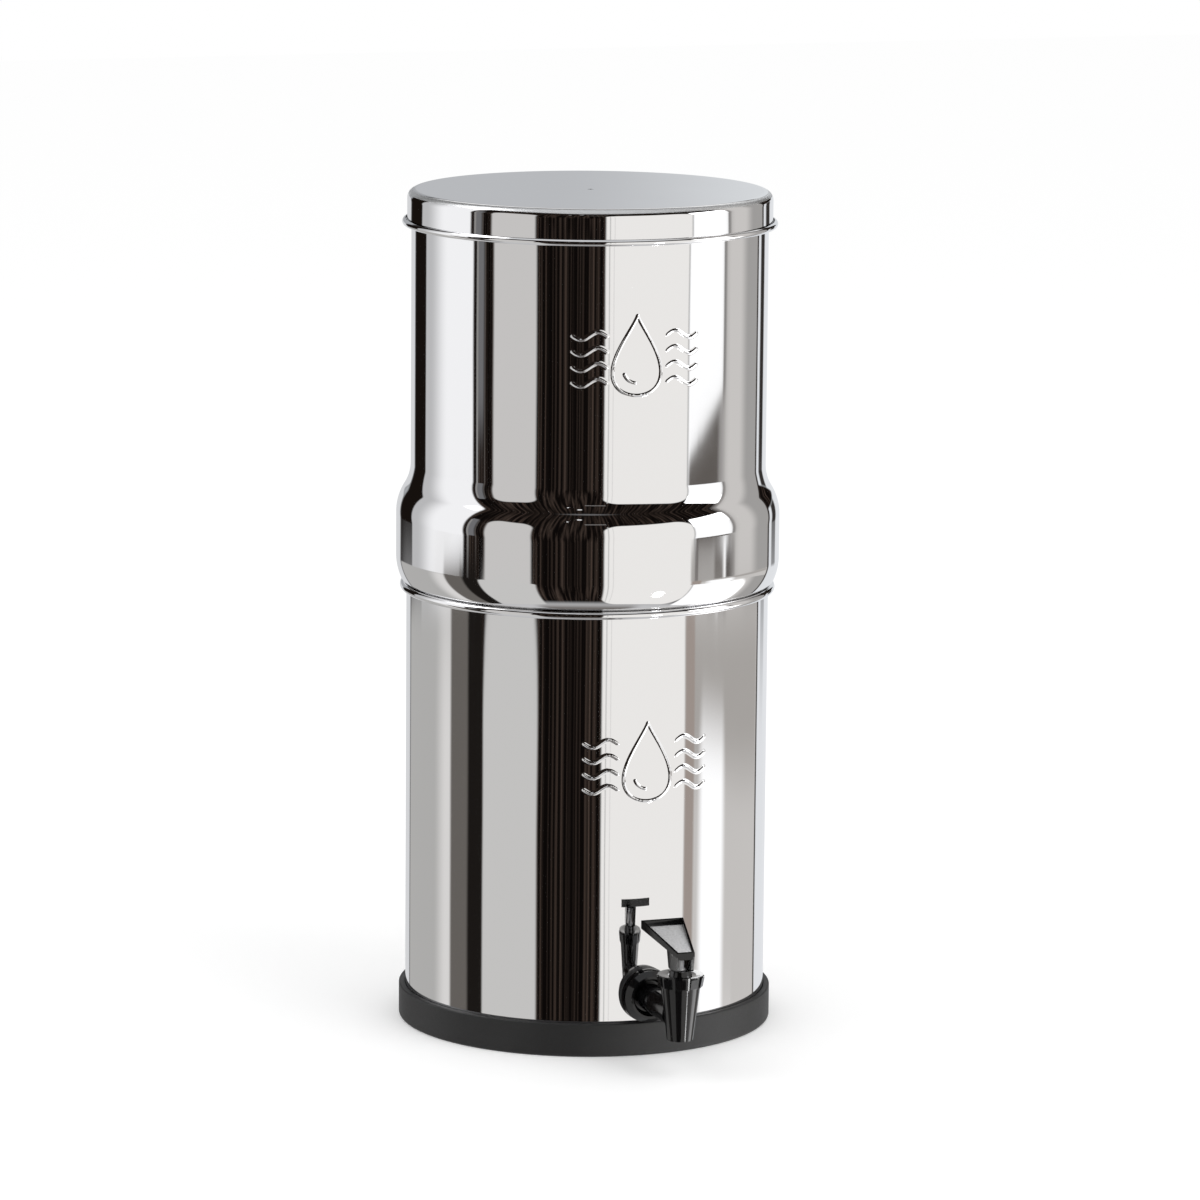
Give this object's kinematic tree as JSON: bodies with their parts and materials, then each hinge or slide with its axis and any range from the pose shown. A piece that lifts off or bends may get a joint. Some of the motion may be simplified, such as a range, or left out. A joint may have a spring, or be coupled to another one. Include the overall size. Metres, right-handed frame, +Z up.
{
  "type": "gravity water filter",
  "caption": "Stainless gravity water filter: filtering upper vessel on a collecting vessel with a lever tap, lid and rubber base ring.",
  "frame": {"origin": "on the vessels' axis, in the plane that the base ring stands on", "axes": "+Z up along the vessels' axis, -Y out of the vessel towards the tap"},
  "size_m": [0.216, 0.2792, 0.4723],
  "materials": {
    "polished_steel": "mirror-polished stainless sheet",
    "base_rubber": "matt moulded rubber",
    "tap_plastic": "gloss injection-moulded plastic",
    "seal_rubber": "soft moulded rubber",
    "seat_silicone": "translucent silicone",
    "stem_plastic": "grey acetal",
    "pin_steel": "turned stainless pin",
    "filter_carbon": "pressed carbon block",
    "filter_plastic": "moulded plastic"
  },
  "bodies": {
    "vessel": {"rubber_base": "base_rubber", "lower_chamber": "polished_steel", "tap_body": "tap_plastic", "tap_outer_seal": "seal_rubber", "tap_inner_seal": "seal_rubber", "tap_nut": "tap_plastic", "tap_bonnet": "tap_plastic"},
    "upper_vessel": {"upper_chamber": "polished_steel", "filter_element_right": "filter_carbon", "filter_base_right": "filter_plastic", "filter_seal_right": "seal_rubber", "filter_wing_nut_right": "filter_plastic", "filter_element_left": "filter_carbon", "filter_base_left": "filter_plastic", "filter_seal_left": "seal_rubber", "filter_wing_nut_left": "filter_plastic", "blanking_plug_rear": "filter_plastic", "plug_seal_rear": "seal_rubber", "plug_nut_rear": "filter_plastic", "blanking_plug_front": "filter_plastic", "plug_seal_front": "seal_rubber", "plug_nut_front": "filter_plastic"},
    "lid": {"lid": "polished_steel"},
    "tap_valve": {"tap_stem": "stem_plastic", "tap_hinge_pin": "pin_steel", "tap_seat_cup": "seat_silicone"},
    "tap_lever": {"tap_lever": "tap_plastic"}
  },
  "joints": [
    {"name": "upper_vessel_lift", "type": "slide", "parent": "vessel", "child": "upper_vessel", "axis": [0, 0, 1], "range_m": [0, 0.12]},
    {"name": "lid_lift", "type": "slide", "parent": "upper_vessel", "child": "lid", "axis": [0, 0, 1], "range_m": [0, 0.06]},
    {"name": "valve_lift", "type": "slide", "parent": "vessel", "child": "tap_valve", "axis": [0, 0, 1], "range_m": [0, 0.0013], "deforming": ["tap_seat_cup"]},
    {"name": "lever_press", "type": "hinge", "parent": "tap_valve", "child": "tap_lever", "pos_m": [0, -0.1581, 0.0696], "axis": [-1, 0, 0], "range_deg": [0, 25], "stiffness_Nm_per_rad": 0.4, "springref_deg": -8.59}
  ],
  "couplings": [
    {"joint": "valve_lift", "follows": "lever_press", "m_per_rad": 0.0028}
  ]
}
